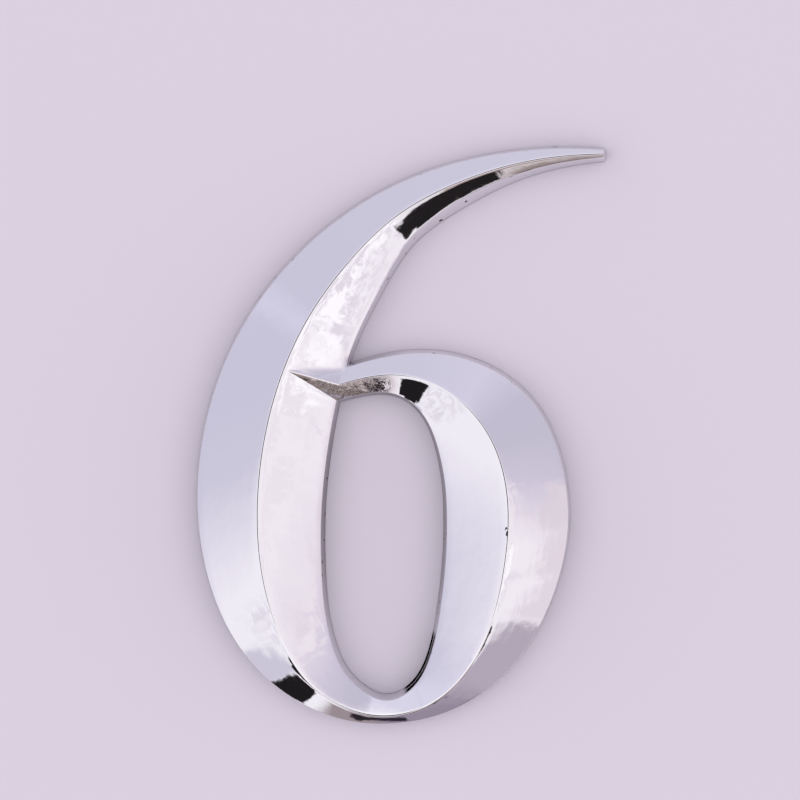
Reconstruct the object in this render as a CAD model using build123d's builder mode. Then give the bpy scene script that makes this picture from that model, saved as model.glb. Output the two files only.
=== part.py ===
from build123d import *
from dataclasses import dataclass
from math import cos, radians, sin, tan
import os

os.makedirs("parts", exist_ok=True)

# A house number 6, moulded in one piece and chromed. One tapering stroke runs from the tip of
# the swash, down the stem and round the bowl, and its neck grows back into the stem.
# The numeral lies on its back: +Y is its top, +Z points out of its face.

# Overall size, over the feet of the side walls
numeral_height = 70.0
numeral_width = 49.5

# Section of the stroke: two drafted side walls under two bevels that meet in a ridge
rim_height = 2.6
draft_angle = 9.2
bevel_angle = 28.0
ridge_radius = 0.3

# Blunt end of the swash
tip_corner_radius = 0.3

# How far the ridge of the neck's root ends under the stem's ridge
root_sink = 0.03

# The wide parts of the stroke are hollow from the back, between walls and ribs
wall_thickness = 1.6
rib_thickness = 1.2

# Sizes that follow from the ones above
wall_flare = rim_height * tan(radians(draft_angle))
rim_box_width = numeral_width - 2 * wall_flare
rim_box_height = numeral_height - 2 * wall_flare


@dataclass
class Station:
    """The rims on both sides of the stroke at one place along it, as shares of the rims' box.

    ridge is how far across the ridge lies, counted from the outer rim, and foot is how much
    further than elsewhere the foot of the inner wall stands out.
    """

    outer: tuple[float, float]
    inner: tuple[float, float]
    ridge: float = 0.5
    foot: float = 0.0


# The swash, from just past its tip to where it has widened into the stem
swash = [
    Station((1.012, 0.997), (1.012, 0.986), ridge=0.55),
    Station((0.911, 1.000), (0.914, 0.978), ridge=0.56, foot=0.10),
    Station((0.775, 0.994), (0.788, 0.956), ridge=0.55, foot=0.30),
    Station((0.616, 0.971), (0.653, 0.913), ridge=0.55, foot=0.55),
    Station((0.455, 0.925), (0.529, 0.846), ridge=0.52, foot=0.35),
    Station((0.301, 0.851), (0.449, 0.756), foot=0.10),
    Station((0.172, 0.755), (0.389, 0.669)),
]

# Where the root of the neck reaches the ridge of the stem
junction = Station((0.086, 0.657), (0.351, 0.585))

# The rest of the stem, down the left side of the counter
stem = [
    Station((0.024, 0.534), (0.324, 0.489)),
    Station((0.000, 0.385), (0.307, 0.381)),
    Station((0.034, 0.235), (0.306, 0.274), ridge=0.49),
    Station((0.109, 0.128), (0.316, 0.189), ridge=0.48),
    Station((0.215, 0.054), (0.340, 0.122), ridge=0.43),
    Station((0.340, 0.011), (0.383, 0.073), ridge=0.37),
]

# The thinnest place, at the bottom of the bowl
bottom = Station((0.463, 0.000), (0.463, 0.041), ridge=0.36)

# The right side and the top of the bowl
bowl = [
    Station((0.589, 0.014), (0.541, 0.070), ridge=0.39),
    Station((0.711, 0.058), (0.581, 0.130), ridge=0.43),
    Station((0.827, 0.150), (0.602, 0.207), ridge=0.47),
    Station((0.900, 0.276), (0.615, 0.300)),
    Station((0.911, 0.412), (0.615, 0.395)),
    Station((0.844, 0.546), (0.604, 0.454)),
    Station((0.714, 0.623), (0.581, 0.510)),
    Station((0.577, 0.647), (0.538, 0.556)),
    Station((0.467, 0.641), (0.468, 0.579)),
]

# The neck, just inside the stem between the notch and the top corner of the counter
neck = Station((0.362, 0.621), (0.336, 0.563), ridge=0.48)

# Stretches that are hollow, each with one more station beyond both of its ends
hollow_stretches = [[*swash[4:], junction, *stem[:5]], bowl[1:8]]

UP = Vector(0, 0, 1)


def on_rim(share: tuple[float, float]) -> Vector:
    """The point with these shares of the rim box's width and height."""
    return Vector((share[0] - 0.5) * rim_box_width, (share[1] - 0.5) * rim_box_height)


def ridge_point(station: Station) -> Vector:
    """Top of the ridge. Both bevels keep their slope, so it is higher where the stroke is wider."""
    outer, inner = on_rim(station.outer), on_rim(station.inner)
    rise = (inner - outer).length / 2 * tan(radians(bevel_angle))
    return outer + (inner - outer) * station.ridge + UP * (rim_height + rise)


def section_corners(station: Station) -> list[Vector]:
    """Corners of the stroke's section: outer foot, outer rim, ridge, inner rim and inner foot."""
    outer, inner = on_rim(station.outer), on_rim(station.inner)
    across = (inner - outer).normalized()
    return [
        outer - across * wall_flare,
        outer + UP * rim_height,
        ridge_point(station),
        inner + UP * rim_height,
        inner + across * (wall_flare + station.foot),
    ]


def long_edges(sections: list[list[Vector]]) -> list[Edge]:
    """Smooth edges along the stroke, one through each corner of its sections."""
    places = [0.0]
    for here, there in zip(sections, sections[1:]):
        places.append(places[-1] + (there[2] - here[2]).length)
    return [Edge.make_spline(list(corners), parameters=places) for corners in zip(*sections)]


def stroke_solid(edges: list[Edge]) -> Solid:
    """Closed body between long edges: ruled walls and bevels, a flat back and two flat ends."""
    sides = [Face.make_surface_from_curves(here, there) for here, there in zip(edges, edges[1:])]
    sections = [[edge @ 0 for edge in edges], [edge @ 1 for edge in edges]]
    ends = [Face(Wire.make_polygon(corners)) for corners in sections]
    back_lines = [Edge.make_line(corners[0], corners[-1]) for corners in sections]
    back = Face(Wire([edges[0], edges[-1], *back_lines]))
    return Solid(Shell([*sides, *ends, back]))


def inset_corner(before: Vector, corner: Vector, after: Vector) -> Vector:
    """The point a wall's thickness in from both lines that meet at a corner of the section."""
    back = (before - corner).normalized()
    on = (after - corner).normalized()
    return corner + (back + on) * (wall_thickness / back.cross(on).length)


def hollow_corners(station: Station, inner_side: bool) -> list[Vector]:
    """Corners of the hollow under one bevel: its foot and shoulder, and the rib's top and foot."""
    corners = section_corners(station)
    if inner_side:
        corners.reverse()
    foot, rim, ridge, far_rim, far_foot = corners
    shoulder = inset_corner(foot, rim, ridge)
    under_ridge = inset_corner(rim, ridge, far_rim)
    out = (foot - far_foot).normalized()
    wall = (rim - foot).normalized()
    slope = (shoulder - under_ridge).normalized()
    hollow_foot = foot - out * (wall_thickness / wall.cross(out).length)
    rib_top = under_ridge + slope * (rib_thickness / 2 / slope.dot(out))
    return [hollow_foot, shoulder, rib_top, Vector(rib_top.X, rib_top.Y)]


def hollow_solid(stations: list[Station], inner_side: bool) -> Solid:
    """The hollow under one bevel, from the second station to the last but one."""
    sections = [hollow_corners(station, inner_side) for station in stations]
    edges = long_edges(sections)
    stretch = zip(edges, sections[1], sections[-2])
    return stroke_solid([edge.trim(start, end) for edge, start, end in stretch])


# The root carries the neck's section straight on into the stem, climbing to the stem's ridge
neck_corners = section_corners(neck)
root_run = ridge_point(junction) - ridge_point(neck) - UP * root_sink
root_corners = [corner + root_run for corner in neck_corners]
for foot in (0, -1):
    root_corners[foot].Z = 0

# Stem and bowl are two bodies, because the neck runs into the stem. The edges of both go on past
# the bottom before they are cut there, so that the bodies meet smoothly.
to_bottom = [section_corners(station) for station in [*swash, junction, *stem, bottom, *bowl[:3]]]
from_bottom = [section_corners(station) for station in [*stem[-3:], bottom, *bowl, neck]]
bottom_corners = section_corners(bottom)
stem_edges = [edge.trim(0, end) for edge, end in zip(long_edges(to_bottom), bottom_corners)]
bowl_edges = [edge.trim(start, 1) for edge, start in zip(long_edges(from_bottom), bottom_corners)]

# Two rows of hollows, with a rib left between them under the ridge and ribs across at each station
with BuildPart() as hollows:
    for stations in hollow_stretches:
        for inner_side in (False, True):
            add(hollow_solid(stations, inner_side))
        for station in stations[2:-2]:
            across = on_rim(station.inner) - on_rim(station.outer)
            with Locations(Plane(ridge_point(station), x_dir=across, z_dir=UP)):
                Box(across.length, rib_thickness, 3 * ridge_point(station).Z, mode=Mode.SUBTRACT)

with BuildPart() as numeral:
    add(stroke_solid(stem_edges))
    add(stroke_solid(bowl_edges))
    add(stroke_solid(long_edges([neck_corners, root_corners])))

    # The tip's end wall leans like the side walls
    lean = radians(draft_angle)
    tip_plane = Plane((numeral_width / 2, 0), x_dir=(0, 1, 0), z_dir=(cos(lean), 0, sin(lean)))
    split(bisect_by=tip_plane, keep=Keep.BOTTOM)
    tip_edges = numeral.faces().sort_by(Axis.X)[-1].edges()
    tip_corners = tip_edges.filter_by_position(Axis.Z, 0, rim_height, inclusive=(False, False))
    fillet(tip_corners, tip_corner_radius)

    # The ridges of the stem, the bowl and the root are slightly rounded
    root_middle = (neck_corners[2] + root_corners[2]) / 2
    on_ridges = [ridge_point(stem[1]), ridge_point(bowl[4]), root_middle]
    fillet([numeral.edges().sort_by_distance(point)[0] for point in on_ridges], ridge_radius)

    add(hollows.part, mode=Mode.SUBTRACT)

numeral.part.label = "numeral"
export_step(numeral.part, "parts/numeral.step")
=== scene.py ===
"""A chromed house number 6, lying on its back on a pale studio board."""

import logging
from dataclasses import dataclass, field
from enum import Enum
from math import pi, radians, sin, tan

import bpy
import numpy as np
from mathutils import Matrix, Vector


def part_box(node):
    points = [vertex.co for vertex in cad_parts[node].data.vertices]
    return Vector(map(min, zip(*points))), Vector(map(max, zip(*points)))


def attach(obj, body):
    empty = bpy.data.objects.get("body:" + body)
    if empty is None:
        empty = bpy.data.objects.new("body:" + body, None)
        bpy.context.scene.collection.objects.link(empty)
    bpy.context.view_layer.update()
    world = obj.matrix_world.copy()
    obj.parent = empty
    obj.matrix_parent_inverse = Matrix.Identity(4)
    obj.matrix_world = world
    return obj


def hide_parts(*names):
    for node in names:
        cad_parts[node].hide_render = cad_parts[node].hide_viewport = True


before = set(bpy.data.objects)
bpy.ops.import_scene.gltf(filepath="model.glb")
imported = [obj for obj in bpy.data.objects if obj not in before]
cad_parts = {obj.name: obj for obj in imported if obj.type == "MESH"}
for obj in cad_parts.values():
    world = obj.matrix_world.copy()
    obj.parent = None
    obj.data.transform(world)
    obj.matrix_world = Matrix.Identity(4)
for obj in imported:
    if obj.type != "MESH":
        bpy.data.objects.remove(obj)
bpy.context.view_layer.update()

log = logging.getLogger("house_number")

# Metres in a millimetre
MM = 0.001

Color = tuple[float, float, float, float]
Socket = bpy.types.NodeSocket


@dataclass(frozen=True)
class Station:
    """The rims on both sides of the stroke at one place along it, as shares of the rims' box.

    ridge is how far across the ridge lies, counted from the outer rim, and foot is how much
    further than elsewhere the foot of the inner wall stands out, in millimetres.
    """

    outer: tuple[float, float]
    inner: tuple[float, float]
    ridge: float = 0.5
    foot: float = 0.0


# The swash, from just past its tip to where it has widened into the stem
SWASH = [
    Station((1.012, 0.997), (1.012, 0.986), ridge=0.55),
    Station((0.911, 1.000), (0.914, 0.978), ridge=0.56, foot=0.10),
    Station((0.775, 0.994), (0.788, 0.956), ridge=0.55, foot=0.30),
    Station((0.616, 0.971), (0.653, 0.913), ridge=0.55, foot=0.55),
    Station((0.455, 0.925), (0.529, 0.846), ridge=0.52, foot=0.35),
    Station((0.301, 0.851), (0.449, 0.756), foot=0.10),
    Station((0.172, 0.755), (0.389, 0.669)),
]

# Where the root of the neck reaches the ridge of the stem
JUNCTION = Station((0.086, 0.657), (0.351, 0.585))

# The rest of the stem, down the left side of the counter
STEM = [
    Station((0.024, 0.534), (0.324, 0.489)),
    Station((0.000, 0.385), (0.307, 0.381)),
    Station((0.034, 0.235), (0.306, 0.274), ridge=0.49),
    Station((0.109, 0.128), (0.316, 0.189), ridge=0.48),
    Station((0.215, 0.054), (0.340, 0.122), ridge=0.43),
    Station((0.340, 0.011), (0.383, 0.073), ridge=0.37),
]

# The thinnest place, at the bottom of the bowl
BOTTOM = Station((0.463, 0.000), (0.463, 0.041), ridge=0.36)

# The right side and the top of the bowl
BOWL = [
    Station((0.589, 0.014), (0.541, 0.070), ridge=0.39),
    Station((0.711, 0.058), (0.581, 0.130), ridge=0.43),
    Station((0.827, 0.150), (0.602, 0.207), ridge=0.47),
    Station((0.900, 0.276), (0.615, 0.300)),
    Station((0.911, 0.412), (0.615, 0.395)),
    Station((0.844, 0.546), (0.604, 0.454)),
    Station((0.714, 0.623), (0.581, 0.510)),
    Station((0.577, 0.647), (0.538, 0.556)),
    Station((0.467, 0.641), (0.468, 0.579)),
]

# The neck, just inside the stem between the notch and the top corner of the counter
NECK = Station((0.362, 0.621), (0.336, 0.563), ridge=0.48)

# Stretches that are hollow, each with one more station beyond both of its ends
HOLLOW_STRETCHES = [[*SWASH[4:], JUNCTION, *STEM[:5]], BOWL[1:8]]


class Corner(Enum):
    """Corners of the stroke's section, in order from its outer side to its inner side."""

    OUTER_FOOT = 0
    OUTER_RIM = 1
    RIDGE = 2
    INNER_RIM = 3
    INNER_FOOT = 4


def unit(vector: np.ndarray) -> np.ndarray:
    """The vector at a length of 1."""
    return vector / np.linalg.norm(vector)


def curve_through(places: np.ndarray, points: np.ndarray, wanted: np.ndarray) -> np.ndarray:
    """Reads a smooth curve, a natural cubic spline, at the wanted places.

    Args:
        places: Where along the curve each point lies, rising.
        points: The points that the curve passes through, in any number of rows and columns each.
        wanted: The places to read.

    Returns:
        The curve's points at the wanted places.
    """
    count = len(places)
    gaps = np.diff(places)
    flat = points.reshape(count, -1)
    slopes = np.diff(flat, axis=0) / gaps[:, None]
    system = np.eye(count)
    bends = np.zeros_like(flat)
    for i in range(1, count - 1):
        system[i, i - 1 : i + 2] = gaps[i - 1], 2 * (gaps[i - 1] + gaps[i]), gaps[i]
        bends[i] = 6 * (slopes[i] - slopes[i - 1])
    bends = np.linalg.solve(system, bends)
    left = np.clip(np.searchsorted(places, wanted, side="right") - 1, 0, count - 2)
    gap = gaps[left][:, None]
    before = (wanted - places[left])[:, None]
    after = (places[left + 1] - wanted)[:, None]
    read = (
        bends[left] * after**3 / (6 * gap)
        + bends[left + 1] * before**3 / (6 * gap)
        + (flat[left] / gap - bends[left] * gap / 6) * after
        + (flat[left + 1] / gap - bends[left + 1] * gap / 6) * before
    )
    return read.reshape(len(wanted), *points.shape[1:])


@dataclass
class Numeral:
    """The moulding: one stroke of ridged section, bent into a 6 and grown together at its neck.

    Sizes are in millimetres and degrees. A bevel bulges by a quarter of crown times its length,
    and a rounding reaches no further than longest_round times the shorter flat beside it. The
    fields from row_spacing on say how finely the mesh is made.
    """

    rim_height: float = 2.6
    draft_angle: float = 9.2
    bevel_angle: float = 28.0
    ridge_radius: float = 0.3
    rim_radius: float = 0.10
    longest_round: float = 0.3
    crown: float = 0.025
    tip_corner_radius: float = 0.3
    tip_lean_length: float = 3.0
    root_sink: float = 0.03
    wall_thickness: float = 1.6
    rib_thickness: float = 1.2
    row_spacing: float = 0.35
    root_row_spacing: float = 0.2
    tip_row_distances: tuple[float, ...] = (0.0, 0.02, 0.06, 0.12, 0.2, 0.3)
    tip_reads: int = 400
    cell_rows: int = 17
    cell_reads: int = 60
    ridge_points: int = 600
    bevel_columns: int = 9
    wall_columns: int = 4
    round_columns: int = 4
    sharp_angle: float = 20.0
    width: float = field(init=False)
    height: float = field(init=False)

    def __post_init__(self) -> None:
        """Takes the overall size from the CAD box."""
        low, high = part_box("numeral")
        self.width = (high.x - low.x) / MM
        self.height = (high.y - low.y) / MM

    @property
    def wall_flare(self) -> float:
        """How far a wall's foot stands out from its rim."""
        return self.rim_height * tan(radians(self.draft_angle))

    def on_rim(self, share: tuple[float, float]) -> np.ndarray:
        """The point with these shares of the rim box's width and height."""
        box = np.array([self.width, self.height]) - 2 * self.wall_flare
        return np.append((np.array(share) - 0.5) * box, 0.0)

    def corners(self, station: Station) -> np.ndarray:
        """Works out the corners of the stroke's section at a station.

        Args:
            station: The place along the stroke.

        Returns:
            A row for each Corner, in millimetres.
        """
        outer, inner = self.on_rim(station.outer), self.on_rim(station.inner)
        face_width = np.linalg.norm(inner - outer)
        across = (inner - outer) / face_width
        up = np.array([0.0, 0.0, 1.0])
        rise = face_width / 2 * tan(radians(self.bevel_angle))
        return np.array(
            [
                outer - across * self.wall_flare,
                outer + up * self.rim_height,
                outer + (inner - outer) * station.ridge + up * (self.rim_height + rise),
                inner + up * self.rim_height,
                inner + across * (self.wall_flare + station.foot),
            ]
        )

    def root_corners(self) -> np.ndarray:
        """Carries the neck's section on into the stem's ridge.

        Returns:
            A row for each Corner of the root's end, in millimetres.
        """
        neck = self.corners(NECK)
        ridge = Corner.RIDGE.value
        run = self.corners(JUNCTION)[ridge] - neck[ridge]
        run[2] -= self.root_sink
        root = neck + run
        root[[Corner.OUTER_FOOT.value, Corner.INNER_FOOT.value], 2] = 0
        return root

    def ring(self, corners: np.ndarray) -> np.ndarray:
        """Runs one closed line round the stroke's section, with its rims and ridge rounded.

        Args:
            corners: The section's corners.

        Returns:
            The line's points, from the outer foot over the ridge to the inner foot.
        """
        points = [corners[0]]
        radii = [0, self.rim_radius, self.ridge_radius, self.rim_radius, 0]
        columns = [self.wall_columns, self.bevel_columns, self.bevel_columns, self.wall_columns]
        start = corners[0]
        for i in range(1, len(corners)):
            corner = corners[i]
            if radii[i]:
                back, on = corners[i - 1] - corner, corners[i + 1] - corner
                turn = np.arccos(-back @ on / np.linalg.norm(back) / np.linalg.norm(on))
                shortest = min(np.linalg.norm(back), np.linalg.norm(on))
                reach = min(radii[i] * tan(turn / 2), self.longest_round * shortest)
                entry = corner + unit(back) * reach
                leave = corner + unit(on) * reach
            else:
                entry = leave = corner
            on_bevel = Corner.RIDGE.value in (i - 1, i)
            bulge = self.crown * np.linalg.norm(entry - start) if on_bevel else 0.0
            for share in np.linspace(0, 1, columns[i - 1] + 1)[1:]:
                lift = np.array([0.0, 0.0, bulge * share * (1 - share)])
                points.append(start + (entry - start) * share + lift)
            if radii[i]:
                for t in np.linspace(0, 1, self.round_columns + 1)[1:]:
                    points.append((1 - t) ** 2 * entry + 2 * t * (1 - t) * corner + t**2 * leave)
            start = leave
        return np.array(points)

    def round_tip(self, rows: np.ndarray) -> np.ndarray:
        """Leans the tip's end wall and rounds its two upright corners.

        Args:
            rows: The rings of the swash, from the tip on.

        Returns:
            The rings with the ones near the tip moved.
        """
        end = self.width / 2
        shaped = rows.copy()
        for row in shaped:
            ridge = row[len(row) // 2].copy()
            from_end = max(end - row[0][0], 0)
            if from_end > self.tip_lean_length:
                break
            lean = (1 - from_end / self.tip_lean_length) ** 2 * tan(radians(self.draft_angle))
            if from_end < self.tip_corner_radius:
                left = self.tip_corner_radius - from_end
                inset = self.tip_corner_radius - (self.tip_corner_radius**2 - left**2) ** 0.5
                half = np.linalg.norm(row[0] - row[-1]) / 2
                row[:, :2] = ridge[:2] + (row[:, :2] - ridge[:2]) * (1 - inset / half)
            row[:, 0] -= row[:, 2] * lean
        return shaped

    def stroke(self, stations: list[Station]) -> tuple[np.ndarray, np.ndarray]:
        """Measures the stroke along its ridge.

        Args:
            stations: Stations one after another along the stroke.

        Returns:
            The place of each station along the ridge, and its corners.
        """
        sections = np.array([self.corners(station) for station in stations])
        steps = np.linalg.norm(np.diff(sections[:, Corner.RIDGE.value], axis=0), axis=1)
        return np.append(0, np.cumsum(steps)), sections

    def rows_along(self, stations: list[Station], places: np.ndarray) -> np.ndarray:
        """Rings at places along the stroke, counted over its stations."""
        read = curve_through(*self.stroke(stations), places)
        return np.array([self.ring(section) for section in read])

    def inset_corner(
        self, before: np.ndarray, corner: np.ndarray, after: np.ndarray
    ) -> np.ndarray:
        """The point a wall's thickness in from both lines that meet at a corner."""
        back, on = unit(before - corner), unit(after - corner)
        return corner + (back + on) * self.wall_thickness / np.linalg.norm(np.cross(back, on))

    def hollow_corners(self, station: Station, inner_side: bool) -> np.ndarray:
        """Works out the section of the hollow under one bevel.

        Args:
            station: The place along the stroke.
            inner_side: Whether it is the bevel on the counter's side.

        Returns:
            The hollow's foot and shoulder, and the top and foot of the rib under the ridge. Both
            feet lie below the numeral's back, so that the hollow opens there.
        """
        corners = self.corners(station)
        if inner_side:
            corners = corners[::-1]
        foot, rim, ridge, far_rim, far_foot = corners
        shoulder = self.inset_corner(foot, rim, ridge)
        under_ridge = self.inset_corner(rim, ridge, far_rim)
        out, wall, slope = unit(foot - far_foot), unit(rim - foot), unit(shoulder - under_ridge)
        hollow_foot = foot - out * self.wall_thickness / np.linalg.norm(np.cross(wall, out))
        rib_top = under_ridge + slope * self.rib_thickness / 2 / (slope @ out)
        depth = np.array([0.0, 0.0, self.rib_thickness])
        wall_below = hollow_foot - wall * self.rib_thickness / wall[2]
        return np.array([wall_below, shoulder, rib_top, rib_top * [1, 1, 0] - depth])

    def cells(self, stations: list[Station], inner_side: bool) -> list[np.ndarray]:
        """Cuts the hollow under one bevel into cells, with a rib across at each inner station.

        Args:
            stations: The hollow's stations, with one more beyond both of its ends.
            inner_side: Whether it is the bevel on the counter's side.

        Returns:
            The rows of each cell's corners.
        """
        knots, sections = self.stroke(stations)
        hollow = np.array([self.hollow_corners(station, inner_side) for station in stations])
        across = sections[:, Corner.INNER_RIM.value] - sections[:, Corner.OUTER_RIM.value]
        onward = np.array([unit(np.cross(line, [0.0, 0.0, 1.0])) for line in across])
        cells = []
        for i in range(1, len(stations) - 2):
            places = np.linspace(knots[i], knots[i + 1], self.cell_reads)
            read = curve_through(knots, hollow, places)
            past_start = (read - hollow[i, 0]) @ onward[i]
            past_end = (read - hollow[i + 1, 0]) @ onward[i + 1]
            half_rib = self.rib_thickness / 2
            from_start = half_rib if i > 1 else 0.0
            to_end = -half_rib if i < len(stations) - 3 else 0.0
            lines = []
            for j in range(hollow.shape[1]):
                first = np.interp(from_start, past_start[:, j], places)
                last = np.interp(to_end, past_end[:, j], places)
                line = np.linspace(first, last, self.cell_rows)
                lines.append(curve_through(knots, hollow[:, j], line))
            rows = np.stack(lines, axis=1)
            cells.append(rows[:, ::-1] if inner_side else rows)
        return cells

    def skin(self, name: str, tubes: list[np.ndarray]) -> bpy.types.Object:
        """Skins tubes of rings into a mesh, each with flat ends and a flat back.

        Args:
            name: Name of the object.
            tubes: The rings of each tube, in millimetres.

        Returns:
            The object, linked to the scene.
        """
        mesh = bpy.data.meshes.new(name)
        points, faces = [], []
        for rows in tubes:
            count, across = rows.shape[:2]
            grid = np.arange(count * across).reshape(count, across) + len(points)
            for here, there in zip(grid, grid[1:]):
                turned_here, turned_there = np.roll(here, -1), np.roll(there, -1)
                faces.extend(np.stack([here, there, turned_there, turned_here], axis=1).tolist())
            faces.append(grid[0].tolist())
            faces.append(grid[-1, ::-1].tolist())
            points.extend((rows.reshape(-1, 3) * MM).tolist())
        mesh.from_pydata(points, [], faces)
        mesh.validate()
        thing = bpy.data.objects.new(name, mesh)
        bpy.context.scene.collection.objects.link(thing)
        return thing

    def join(self, body: bpy.types.Object, other: bpy.types.Object, operation: str) -> None:
        """Joins another body to a body or cuts it out of it, and removes the other.

        Args:
            body: The body that stays.
            other: The body that is joined or cut out.
            operation: The Boolean modifier's word for it.
        """
        step = body.modifiers.new("join", "BOOLEAN")
        step.operation = operation
        step.solver = "EXACT"
        step.object = other
        graph = bpy.context.evaluated_depsgraph_get()
        joined = bpy.data.meshes.new_from_object(body.evaluated_get(graph))
        body.modifiers.remove(step)
        body.data = joined
        bpy.data.objects.remove(other)

    def mesh(self) -> bpy.types.Object:
        """Builds the numeral in two bodies, which meet at the bottom of the bowl, and joins them.

        Returns:
            The numeral, with every ridge and rim rounded and the hollows cut into its back.
        """
        stations = [*SWASH, JUNCTION, *STEM, BOTTOM, *BOWL, NECK]
        knots, sections = self.stroke(stations)
        bottom = knots[stations.index(BOTTOM)]

        near_tip = np.linspace(0, knots[1], self.tip_reads)
        feet = curve_through(knots, sections, near_tip)[:, Corner.OUTER_FOOT.value, 0]
        tip_feet = self.width / 2 - np.array(self.tip_row_distances)
        tip_places = np.interp(tip_feet, feet[::-1], near_tip[::-1])
        row_count = int((bottom - tip_places[-1]) / self.row_spacing)
        rest = np.linspace(tip_places[-1], bottom, row_count)
        stem_rows = self.round_tip(self.rows_along(stations, np.append(tip_places, rest[1:])))

        bowl_places = np.linspace(bottom, knots[-1], int((knots[-1] - bottom) / self.row_spacing))
        bowl_rows = self.rows_along(stations, bowl_places)
        neck, root = self.corners(NECK), self.root_corners()
        reach = np.linalg.norm(root - neck, axis=1).max()
        shares = np.linspace(0, 1, int(reach / self.root_row_spacing))[1:]
        root_rows = np.array([self.ring(neck + (root - neck) * share) for share in shares])

        stem = self.skin("numeral_skin", [stem_rows])
        bowl = self.skin("bowl_skin", [np.concatenate([bowl_rows, root_rows])])
        self.join(stem, bowl, "UNION")
        cells = []
        for stretch in HOLLOW_STRETCHES:
            for inner_side in (False, True):
                cells.extend(self.cells(stretch, inner_side))
        self.join(stem, self.skin("hollow_cells", cells), "DIFFERENCE")
        along = np.linspace(0, knots[-1], self.ridge_points)
        self.measure(stem, curve_through(knots, sections[:, Corner.RIDGE.value], along))
        return stem

    def measure(self, skin: bpy.types.Object, ridge: np.ndarray) -> None:
        """Notes for each point of the mesh how far along and across the stroke it lies.

        Args:
            skin: The numeral's mesh object.
            ridge: Points close together along the stroke's ridge, in millimetres.
        """
        places = np.empty(len(skin.data.vertices) * 3)
        skin.data.vertices.foreach_get("co", places)
        places = places.reshape(-1, 3)[:, :2] / MM
        line = ridge[:, :2]
        lengths = np.append(0, np.cumsum(np.linalg.norm(np.diff(line, axis=0), axis=1)))
        onward = np.array([unit(step) for step in np.gradient(line, axis=0)])
        nearest = np.array([((line - place) ** 2).sum(axis=1).argmin() for place in places])
        offset, onward = places - line[nearest], onward[nearest]
        along = lengths[nearest] + (offset * onward).sum(axis=1)
        across = onward[:, 0] * offset[:, 1] - onward[:, 1] * offset[:, 0]
        measures = np.stack([along, across, np.zeros_like(along)], axis=1)
        stroke = skin.data.attributes.new("stroke", "FLOAT_VECTOR", "POINT")
        stroke.data.foreach_set("vector", measures.ravel())

    def dress(self, skin: bpy.types.Object, plating: bpy.types.Material) -> None:
        """Plates the numeral and shades its flats flat and its rounds round.

        Args:
            skin: The numeral's mesh object.
            plating: The chrome.
        """
        skin.data.materials.clear()
        skin.data.materials.append(plating)
        skin.data.shade_smooth()
        skin.data.set_sharp_from_angle(angle=radians(self.sharp_angle))
        weighted = skin.modifiers.new("flat bevels", "WEIGHTED_NORMAL")
        weighted.mode = "FACE_AREA"
        weighted.keep_sharp = True


def srgb(red: int, green: int, blue: int) -> Color:
    """Turns a colour as a screen shows it into one as a shader takes it.

    Args:
        red: Its red value, from 0 to 255.
        green: Its green value.
        blue: Its blue value.

    Returns:
        The colour in linear light, opaque.
    """
    shares = [value / 255 for value in (red, green, blue)]
    linear = [s / 12.92 if s <= 0.04045 else ((s + 0.055) / 1.055) ** 2.4 for s in shares]
    return (*linear, 1.0)


BLACK = srgb(0, 0, 0)
WHITE = srgb(255, 255, 255)


class Wiring:
    """Adds nodes to a shader's tree. A socket or a plain value feeds each of their inputs."""

    def __init__(self, tree: bpy.types.NodeTree) -> None:
        """Takes the tree that the nodes go into."""
        self.tree = tree

    def add(self, kind: str, inputs: dict | None = None, **settings: object) -> bpy.types.Node:
        """Adds a node.

        Args:
            kind: The node's type.
            inputs: What feeds its inputs, by their names or numbers.
            settings: Its other settings.

        Returns:
            The node.
        """
        node = self.tree.nodes.new(kind)
        for name, value in settings.items():
            setattr(node, name, value)
        for name, value in (inputs or {}).items():
            if isinstance(value, Socket):
                self.tree.links.new(value, node.inputs[name])
            else:
                node.inputs[name].default_value = value
        return node

    def math(self, operation: str, *values: object) -> Socket:
        """Output of a Math node."""
        return self.add("ShaderNodeMath", dict(enumerate(values)), operation=operation).outputs[0]

    def vector_math(self, operation: str, *values: object) -> bpy.types.Node:
        """A Vector Math node."""
        return self.add("ShaderNodeVectorMath", dict(enumerate(values)), operation=operation)

    def noise(self, place: Socket, scale: float, detail: float) -> bpy.types.Node:
        """A noise texture at a place."""
        inputs = {"Vector": place, "Scale": scale, "Detail": detail}
        return self.add("ShaderNodeTexNoise", inputs)

    def grain(self, place: Socket, size: tuple[float, float, float], detail: float) -> Socket:
        """A noise whose grains have a size along each axis, in the place's own units."""
        stretched = self.vector_math("DIVIDE", place, size).outputs[0]
        return self.noise(stretched, 1.0, detail).outputs["Fac"]

    def ease(self, value: object, start: float, end: float) -> Socket:
        """Masks the places where a value has gone far enough.

        Args:
            value: The value.
            start: Where the mask is 0. It may be more than end.
            end: Where the mask is 1.

        Returns:
            A mask that rises softly from 0 to 1 while the value goes from start to end.
        """
        inputs = {"Value": value, "From Min": start, "From Max": end}
        node = self.add("ShaderNodeMapRange", inputs, interpolation_type="SMOOTHSTEP")
        return node.outputs["Result"]

    def mix(self, share: object, first: object, second: object) -> Socket:
        """A colour between two colours."""
        inputs = {"Factor": share, "A": first, "B": second}
        return self.add("ShaderNodeMix", inputs, data_type="RGBA").outputs["Result"]

    def ramp(self, share: Socket, stops: list[tuple[float, Color]]) -> Socket:
        """Reads a colour from a ramp.

        Args:
            share: Where to read, from 0 to 1.
            stops: Rising places from 0 to 1, and the ramp's colours there.

        Returns:
            The colour.
        """
        node = self.add("ShaderNodeValToRGB", {"Fac": share})
        elements = node.color_ramp.elements
        for i, (place, color) in enumerate(stops):
            stop = elements[i] if i < 2 else elements.new(1)
            stop.position = place
            stop.color = color
        return node.outputs["Color"]


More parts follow.
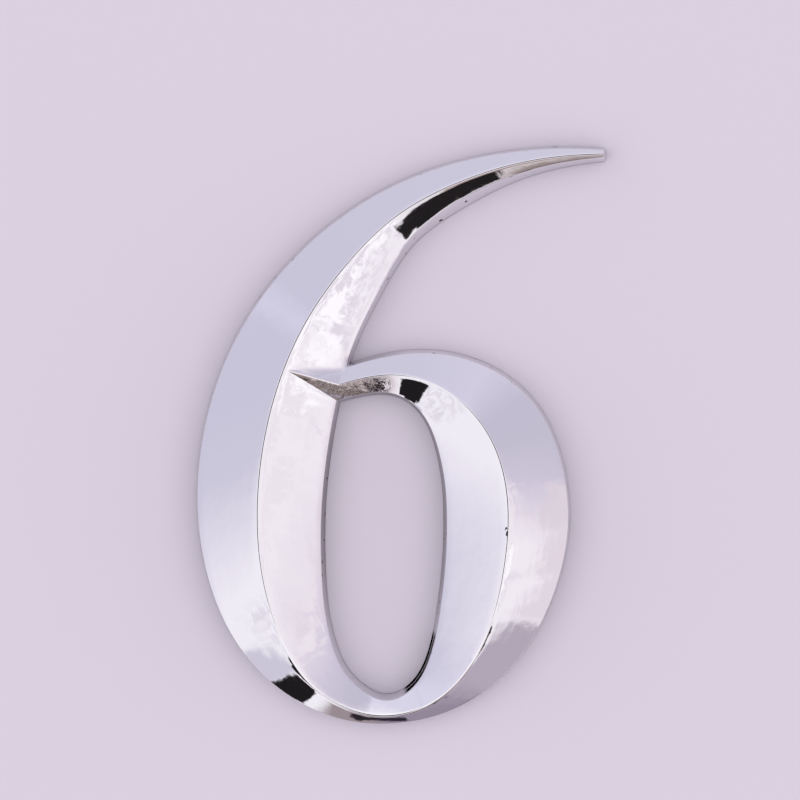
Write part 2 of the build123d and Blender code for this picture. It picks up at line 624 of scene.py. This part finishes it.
@dataclass(frozen=True)
class Relief:
    """One kind of unevenness of the moulding's surface, in millimetres."""

    size: tuple[float, float, float]
    depth: float
    detail: float = 2.0


@dataclass(frozen=True)
class Marks:
    """Scattered marks where a noise passes a threshold, with their noise's size in millimetres."""

    size: tuple[float, float, float]
    start: float
    end: float
    detail: float = 1.0

    def mask(self, wiring: Wiring, place: Socket) -> Socket:
        """A mask that is 1 in the marks and 0 between them."""
        return wiring.ease(wiring.grain(place, self.size, self.detail), self.start, self.end)


@dataclass(frozen=True)
class Spot:
    """A round or oval part of the numeral, in millimetres, with a soft edge.

    full_to and gone_at are shares of its reach.
    """

    middle: tuple[float, float, float]
    reach: tuple[float, float, float]
    full_to: float = 0.8
    gone_at: float = 1.05

    def mask(self, wiring: Wiring, place: Socket) -> Socket:
        """Masks the spot.

        Args:
            wiring: The wiring of the tree that needs the mask.
            place: The place on the object, in millimetres.

        Returns:
            A mask that is 1 well inside the spot and 0 outside it.
        """
        offset = wiring.vector_math("SUBTRACT", place, self.middle).outputs[0]
        share = wiring.vector_math("DIVIDE", offset, self.reach).outputs[0]
        distance = wiring.vector_math("LENGTH", share).outputs["Value"]
        return wiring.ease(distance, self.gone_at, self.full_to)


@dataclass(frozen=True)
class Chrome:
    """Bright chrome plating on moulded plastic.

    The moulding's waves, its fine peel and the flow lines along its stroke show in what it
    mirrors. Painted shade darkens the plating down the walls, where it stands in for the
    shadowed board that they mirror, with a painted contact shadow at their feet and more
    painted shade in the counter. Dark lines painted in the counter's corner are a painted
    reflection of dark things, dark specks painted at the nick are a dent's painted shade, and
    grime specks lie on the walls. Heights and places are in millimetres.

    shades gives the share of light that the painted shade leaves at heights up a wall, and
    their ramp runs on to ramp_top, over the face. counter_shade is the share of that in the
    counter. It and the marks on the walls end softly at the rims, between wall_full_to and
    wall_gone_at.
    """

    tint: tuple[float, float, float] = (0.86, 0.85, 0.87)
    # The dark of the painted reflection lines, of the dent's painted shade at the nick and of the
    # grime specks
    painted_shade_and_grime_color: Color = (0.02, 0.02, 0.025, 1.0)
    roughness: float = 0.03
    waves: Relief = Relief((4.0, 4.0, 4.0), 0.034)
    peel: Relief = Relief((1.1, 1.1, 1.1), 0.0045, detail=3.0)
    flow_lines: Relief = Relief((12.0, 1.7, 1.0), 0.012)
    neck_lumps: Relief = Relief((0.77, 0.77, 0.77), 0.05)
    # Painted shade down the walls, with a painted contact shadow at their feet
    shades: tuple[tuple[float, float], ...] = ((0.0, 0.36), (0.12, 0.80), (0.4, 0.98), (2.45, 1.0))
    ramp_top: float = 5.32
    wall_full_to: float = 2.45
    wall_gone_at: float = 2.66
    # Painted shade in the counter
    counter_shade: float = 0.66
    crease_radius: float = 1.3
    crease_samples: int = 8
    # Dark lines painted in the counter's corner, a painted reflection of dark things
    painted_reflection_lines: Marks = Marks((12.0, 12.0, 0.5), 0.43, 0.48)
    grime: Marks = Marks((0.9091, 0.9091, 0.9091), 0.69, 0.71, detail=2.0)
    # Dark specks painted at the nick, a dent's painted shade
    painted_dent_specks: Marks = Marks((0.3333, 0.3333, 0.3333), 0.50, 0.56)
    counter: Spot = Spot((-2.0, -10.0, 0.0), (8.6, 20.5, 40.0))
    counter_corner: Spot = Spot((3.0, -27.8, 1.5), (3.4, 4.6, 40.0))
    junction: Spot = Spot((-8.0, 9.0, 4.0), (8.0, 6.5, 40.0))
    neck: Spot = Spot((-5.6, 6.4, 3.5), (5.4, 1.6, 40.0))
    crease: Spot = Spot((-9.2, 9.0, 4.0), (3.7, 1.6, 40.0))
    nick: Spot = Spot((12.7, -11.0, 6.3), (0.18, 0.8, 2.0))

    def relief_group(self) -> bpy.types.NodeTree:
        """Builds the group that gives the height of the moulding's unevenness.

        Returns:
            The group, with a place on the object and one along the stroke as inputs.
        """
        group = bpy.data.node_groups.new("moulding_relief", "ShaderNodeTree")
        for name in ("Position", "Stroke"):
            group.interface.new_socket(name, in_out="INPUT", socket_type="NodeSocketVector")
        group.interface.new_socket("Height", in_out="OUTPUT", socket_type="NodeSocketFloat")
        wiring = Wiring(group)
        inside = group.nodes.new("NodeGroupInput")
        place, along = inside.outputs["Position"], inside.outputs["Stroke"]
        clear = wiring.math("SUBTRACT", 1.0, self.junction.mask(wiring, place))
        reliefs = (
            (place, self.waves, 1.0),
            (place, self.peel, 1.0),
            (along, self.flow_lines, clear),
            (place, self.neck_lumps, self.neck.mask(wiring, place)),
        )
        height = 0.0
        for where, relief, share in reliefs:
            noise = wiring.grain(where, relief.size, relief.detail)
            depth = wiring.math("MULTIPLY", relief.depth, share)
            height = wiring.math("MULTIPLY_ADD", noise, depth, height)
        wiring.add("NodeGroupOutput", {"Height": height})
        return group

    def shade(self, wiring: Wiring, place: Socket) -> Socket:
        """Works out the plating's painted shade, with painted reflection lines, a dent's painted
        specks and grime.

        Args:
            wiring: The material's wiring.
            place: The place on the object, in millimetres.

        Returns:
            The share, as a colour.
        """
        # Painted shade down the walls stands in for the shadowed board that they mirror, and a
        # painted contact shadow darkens their feet
        height = wiring.add("ShaderNodeSeparateXYZ", {0: place}).outputs["Z"]
        tones = [(mm / self.ramp_top, (shade, shade, shade, 1)) for mm, shade in self.shades]
        color = wiring.ramp(wiring.math("DIVIDE", height, self.ramp_top), tones)

        # More painted shade in the counter
        on_wall = wiring.ease(height, self.wall_gone_at, self.wall_full_to)
        in_counter = wiring.math("MULTIPLY", on_wall, self.counter.mask(wiring, place))
        color = wiring.mix(in_counter, color, wiring.mix(self.counter_shade, BLACK, color))

        # Dark lines painted in the counter's corner are a painted reflection of dark things
        in_corner = wiring.math("MULTIPLY", on_wall, self.counter_corner.mask(wiring, place))
        # Dark specks painted at the nick are a dent's painted shade, and the grime specks on the
        # walls are dirt
        marked_areas = (
            (self.painted_reflection_lines, in_corner),
            (self.grime, on_wall),
            (self.painted_dent_specks, self.nick.mask(wiring, place)),
        )
        for marks, area in marked_areas:
            marked = wiring.math("MULTIPLY", marks.mask(wiring, place), area)
            color = wiring.mix(marked, color, self.painted_shade_and_grime_color)
        return color

    def material(self) -> bpy.types.Material:
        """Builds the material.

        Returns:
            The chrome, ready for a material slot.
        """
        chrome = bpy.data.materials.new("chrome_plating")
        chrome.use_nodes = True
        wiring = Wiring(chrome.node_tree)
        shader = chrome.node_tree.nodes["Principled BSDF"]
        shader.inputs["Metallic"].default_value = 1
        shader.inputs["Roughness"].default_value = self.roughness
        place = wiring.add("ShaderNodeTexCoord").outputs["Object"]
        in_mm = wiring.vector_math("DIVIDE", place, (MM, MM, MM)).outputs[0]
        stroke = wiring.add("ShaderNodeAttribute", attribute_name="stroke").outputs["Vector"]
        inputs = {"Position": in_mm, "Stroke": stroke}
        relief = wiring.add("ShaderNodeGroup", inputs, node_tree=self.relief_group())

        # In the crease between the neck and the stem the moulding is filleted
        flat = wiring.add("ShaderNodeNewGeometry").outputs["Normal"]
        inputs = {"Radius": self.crease_radius * MM}
        rounded = wiring.add("ShaderNodeBevel", inputs, samples=self.crease_samples)
        in_crease = self.crease.mask(wiring, in_mm)
        inputs = {"Factor": in_crease, "A": flat, "B": rounded.outputs["Normal"]}
        normal = wiring.add("ShaderNodeMix", inputs, data_type="VECTOR").outputs["Result"]
        inputs = {"Height": relief.outputs["Height"], "Distance": MM, "Normal": normal}
        bump = wiring.add("ShaderNodeBump", inputs)

        # Painted shade darkens the chrome down the walls, at their feet and in the counter, also
        # at grazing angles
        shade = self.shade(wiring, in_mm)
        color = wiring.vector_math("MULTIPLY", shade, self.tint).outputs[0]
        chrome.node_tree.links.new(color, shader.inputs["Base Color"])
        chrome.node_tree.links.new(shade, shader.inputs["Specular Tint"])
        chrome.node_tree.links.new(bump.outputs["Normal"], shader.inputs["Normal"])
        return chrome


@dataclass(frozen=True)
class Patch:
    """Part of the studio's surroundings with a tone of its own and soft edges.

    Angles are in degrees: azimuths from +X towards +Y, and elevations up from the board. A
    mottled patch shows only in blotches.
    """

    west: float
    east: float
    low: float
    high: float
    color: Color
    soft: float = 1.0
    mottled: bool = False


@dataclass(frozen=True)
class Surroundings:
    """What the chrome mirrors: pale walls and lights all round, with darker shapes at the front.

    walls gives the tone at azimuths all round, in degrees. The walls lean, so that their tones
    move towards the front with height. The patches lie over the walls and over the patches before
    them, and ripple is how far their edges waver, in degrees.
    """

    walls: tuple[tuple[float, Color], ...] = (
        (-180, srgb(204, 201, 218)),
        (-168, srgb(226, 222, 234)),
        (-158, srgb(240, 237, 244)),
        (-112, srgb(240, 237, 243)),
        (-104, srgb(226, 217, 223)),
        (-96, srgb(196, 186, 190)),
        (-84, srgb(150, 138, 140)),
        (-76, srgb(204, 193, 196)),
        (-66, srgb(214, 205, 208)),
        (-44, srgb(240, 236, 241)),
        (-16, srgb(240, 234, 240)),
        (-8, srgb(224, 216, 227)),
        (4, srgb(204, 198, 215)),
        (20, srgb(194, 189, 206)),
        (40, srgb(193, 189, 206)),
        (62, srgb(209, 205, 222)),
        (100, srgb(203, 200, 217)),
        (165, srgb(199, 196, 215)),
    )
    lean: float = 0.9
    lean_height: float = 31.0
    patches: tuple[Patch, ...] = (
        Patch(-92, -34, -90, 26, srgb(176, 167, 181), soft=2.0),
        Patch(-96, -60, -90, 15, srgb(146, 136, 152), soft=5.0),
        Patch(-111, -92, -90, 13, srgb(152, 140, 144), soft=3.0),
        Patch(-139, -127, -90, 22, srgb(203, 199, 214), soft=2.0),
        Patch(60, 200, 41, 90, srgb(216, 213, 230), soft=5.0),
        Patch(145, 149, -90, 60, srgb(210, 208, 227), soft=3.0),
        Patch(-78, -57, 33.5, 40, srgb(150, 130, 126), soft=1.5),
        Patch(-41, -16, 33.5, 50, srgb(254, 251, 255), soft=1.0),
        Patch(-41, -22, 31, 45, srgb(224, 217, 226), soft=1.5, mottled=True),
        Patch(-22, 6, 35, 48, srgb(235, 228, 234), soft=2.0, mottled=True),
        Patch(-10, 4, -90, 31.4, srgb(219, 209, 219), soft=1.5),
        Patch(-22, -8, -90, 29.8, srgb(223, 213, 222), soft=1.5),
        Patch(-33, -20, -90, 27.4, srgb(224, 215, 225), soft=1.5),
        Patch(-150, -131, 24, 45, srgb(222, 218, 228), soft=3.0, mottled=True),
        Patch(-84, -67, 20, 31, srgb(150, 136, 134), soft=2.0),
        Patch(-97, -68, 15, 28, srgb(38, 30, 29), soft=1.5, mottled=True),
        Patch(-97, -82, 26, 36, srgb(50, 41, 39), soft=1.5, mottled=True),
        Patch(-97, -86, 28, 33, srgb(52, 46, 48), soft=1.0),
        Patch(-131, -111, 24.5, 33.5, srgb(30, 27, 30), soft=0.6),
        Patch(-127.5, -116.5, 6, 18.5, srgb(30, 27, 30), soft=0.6),
        Patch(-129, -117, 20.6, 27, srgb(30, 27, 30), soft=0.5),
        Patch(-66, -45, 27.8, 33.8, srgb(32, 29, 31), soft=0.6),
        Patch(-46, -39.5, 29.4, 33.8, srgb(32, 29, 31), soft=0.6),
        Patch(-101, -84, 6.6, 9.2, srgb(40, 34, 42), soft=0.7),
        Patch(-180, 180, 57, 90, srgb(252, 250, 254), soft=5.0),
        Patch(-180, 180, 70, 90, srgb(34, 30, 38), soft=3.0),
    )
    ripple: float = 2.6
    ripple_scale: float = 16.0
    ripple_detail: float = 4.0
    mottle_scale: float = 30.0
    mottle_detail: float = 3.0
    blotch_start: float = 0.42
    blotch_end: float = 0.62
    mirror_strength: float = 1.16
    spill_loss: float = 0.7
    side_light: float = 0.8

    def patch_group(self) -> bpy.types.NodeTree:
        """Builds the group that masks one patch.

        Returns:
            The group, with its edges and their softness as inputs.
        """
        group = bpy.data.node_groups.new("surroundings_patch", "ShaderNodeTree")
        for name in ("Azimuth", "Elevation", "West", "East", "Low", "High", "Soft"):
            group.interface.new_socket(name, in_out="INPUT", socket_type="NodeSocketFloat")
        group.interface.new_socket("Mask", in_out="OUTPUT", socket_type="NodeSocketFloat")
        wiring = Wiring(group)
        inside = group.nodes.new("NodeGroupInput").outputs
        mask = 1.0
        sides = (("Azimuth", "West"), ("East", "Azimuth"))
        ends = (("Elevation", "Low"), ("High", "Elevation"))
        for more, less in (*sides, *ends):
            depth = wiring.math("SUBTRACT", inside[more], inside[less])
            edge = wiring.ease(wiring.math("DIVIDE", depth, inside["Soft"]), -1.0, 1.0)
            mask = wiring.math("MULTIPLY", mask, edge)
        wiring.add("NodeGroupOutput", {"Mask": mask})
        return group

    def mirrored_tone(self, wiring: Wiring, direction: Socket) -> Socket:
        """Works out the tone of the surroundings in a direction.

        Args:
            wiring: The world's wiring.
            direction: The direction, as a vector of length 1.

        Returns:
            The walls' tone, with the patches over it.
        """
        parts = wiring.add("ShaderNodeSeparateXYZ", {0: direction}).outputs
        ripples = wiring.noise(direction, self.ripple_scale, self.ripple_detail).outputs["Color"]
        ripple = wiring.add("ShaderNodeSeparateColor", {0: ripples}).outputs
        turn = wiring.math("ARCTAN2", parts["Y"], parts["X"])
        rise = wiring.math("ARCSINE", parts["Z"])
        angles = []
        for angle, wave in ((turn, ripple["Red"]), (rise, ripple["Green"])):
            shift = wiring.math("MULTIPLY_ADD", wave, self.ripple, -self.ripple / 2)
            angles.append(wiring.math("MULTIPLY_ADD", angle, 180 / pi, shift))
        azimuth, elevation = angles

        raised = wiring.math("SUBTRACT", parts["Z"], sin(radians(self.lean_height)))
        front = wiring.math("MULTIPLY_ADD", raised, -self.lean, parts["Y"])
        wall_turn = wiring.math("ARCTAN2", front, parts["X"])
        wall_place = wiring.math("MULTIPLY_ADD", wall_turn, 0.5 / pi, 0.5)
        stops = [(angle / 360 + 0.5, color) for angle, color in self.walls]
        color = wiring.ramp(wall_place, [*stops, (1.0, self.walls[0][1])])

        noise = wiring.noise(direction, self.mottle_scale, self.mottle_detail).outputs["Fac"]
        blotches = wiring.ease(noise, self.blotch_start, self.blotch_end)
        group = self.patch_group()
        for patch in self.patches:
            inputs = {
                "Azimuth": azimuth,
                "Elevation": elevation,
                "West": patch.west,
                "East": patch.east,
                "Low": patch.low,
                "High": patch.high,
                "Soft": patch.soft,
            }
            mask = wiring.add("ShaderNodeGroup", inputs, node_tree=group).outputs["Mask"]
            if patch.mottled:
                mask = wiring.math("MULTIPLY", mask, blotches)
            color = wiring.mix(mask, color, patch.color)
        return color

    def plain_light(self, wiring: Wiring, direction: Socket, backdrop: Color) -> Socket:
        """Makes the light for all but mirrored rays, stronger from the sides than from the front.

        Args:
            wiring: The world's wiring.
            direction: The direction, as a vector of length 1.
            backdrop: The plain colour that the camera sees behind the board.

        Returns:
            The shader.
        """
        parts = wiring.add("ShaderNodeSeparateXYZ", {0: direction}).outputs
        seen = wiring.add("ShaderNodeLightPath").outputs["Is Camera Ray"]
        sideways = wiring.math("MULTIPLY", parts["X"], parts["X"])
        forward = wiring.math("MULTIPLY", parts["Y"], parts["Y"])
        bias = wiring.math("MULTIPLY", wiring.math("SUBTRACT", sideways, forward), self.side_light)
        level = wiring.math("MULTIPLY_ADD", bias, wiring.math("SUBTRACT", 1.0, seen), 1.0)
        inputs = {"Color": wiring.mix(seen, WHITE, backdrop), "Strength": level}
        return wiring.add("ShaderNodeBackground", inputs).outputs[0]

    def world(self, backdrop: Color) -> bpy.types.World:
        """Paints the surroundings on the world, for mirrored rays alone.

        Args:
            backdrop: The plain colour that the camera sees behind the board.

        Returns:
            The world.
        """
        world = bpy.data.worlds.new("studio")
        world.use_nodes = True
        world.node_tree.nodes.clear()
        wiring = Wiring(world.node_tree)
        direction = wiring.add("ShaderNodeTexCoord").outputs["Generated"]
        path = wiring.add("ShaderNodeLightPath").outputs

        # The chrome throws less of what it mirrors on the board than the camera sees in it
        spilled = wiring.math("MINIMUM", path["Diffuse Depth"], 1.0)
        strength = wiring.math("MULTIPLY_ADD", spilled, -self.spill_loss, self.mirror_strength)
        inputs = {"Color": self.mirrored_tone(wiring, direction), "Strength": strength}
        mirrored = wiring.add("ShaderNodeBackground", inputs).outputs[0]
        light = self.plain_light(wiring, direction, backdrop)
        inputs = {0: path["Is Glossy Ray"], 1: light, 2: mirrored}
        studio = wiring.add("ShaderNodeMixShader", inputs).outputs[0]
        wiring.add("ShaderNodeOutputWorld", {"Surface": studio})
        return world


@dataclass
class Studio:
    """A pale board under soft light, and the camera above it.

    Sizes and places are in millimetres, and the view's angle is in degrees.
    """

    board_color: Color = srgb(218, 208, 224)
    board_roughness: float = 0.9
    board_side: float = 4000.0
    board_gap: float = 0.02
    camera_place: tuple[float, float, float] = (4.95, 18.72, 298.3)
    camera_target: tuple[float, float, float] = (-0.01, 4.44, 0.0)
    view_angle: float = 18.41
    sensor_width: float = 36.0

    def board(self) -> None:
        """Lays the board just under the numeral's back."""
        half, below = self.board_side / 2 * MM, -self.board_gap * MM
        mesh = bpy.data.meshes.new("board")
        places = ((-half, -half), (half, -half), (half, half), (-half, half))
        mesh.from_pydata([(x, y, below) for x, y in places], [], [(0, 1, 2, 3)])
        board = bpy.data.objects.new("board", mesh)
        bpy.context.scene.collection.objects.link(board)
        paint = bpy.data.materials.new("board_paint")
        paint.use_nodes = True
        shader = paint.node_tree.nodes["Principled BSDF"]
        shader.inputs["Base Color"].default_value = self.board_color
        shader.inputs["Roughness"].default_value = self.board_roughness
        mesh.materials.append(paint)

    def light(self) -> None:
        """Fills the studio with pale light."""
        bpy.context.scene.world = Surroundings().world(self.board_color)

    def camera(self) -> None:
        """Hangs the camera over the board, where the photograph was taken from."""
        data = bpy.data.cameras.new("camera")
        data.sensor_width = self.sensor_width
        data.lens = self.sensor_width / 2 / tan(radians(self.view_angle) / 2)
        camera = bpy.data.objects.new("camera", data)
        place, target = Vector(self.camera_place) * MM, Vector(self.camera_target) * MM
        back = (place - target).normalized()
        right = Vector((0, 1, 0)).cross(back).normalized()
        turn = Matrix((right, back.cross(right), back)).transposed()
        camera.matrix_world = Matrix.LocRotScale(place, turn, None)
        bpy.context.scene.collection.objects.link(camera)
        bpy.context.scene.camera = camera


def main() -> None:
    """Builds the numeral and the studio round it."""
    logging.basicConfig(level=logging.INFO, format="%(message)s")
    numeral = Numeral()
    skin = numeral.mesh()
    numeral.dress(skin, Chrome().material())
    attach(skin, "root")
    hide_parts("numeral")
    log.info("numeral: %d faces", len(skin.data.polygons))
    studio = Studio()
    studio.board()
    studio.light()
    studio.camera()
    bpy.context.scene.view_settings.view_transform = "Standard"


if __name__ == "__main__":
    main()
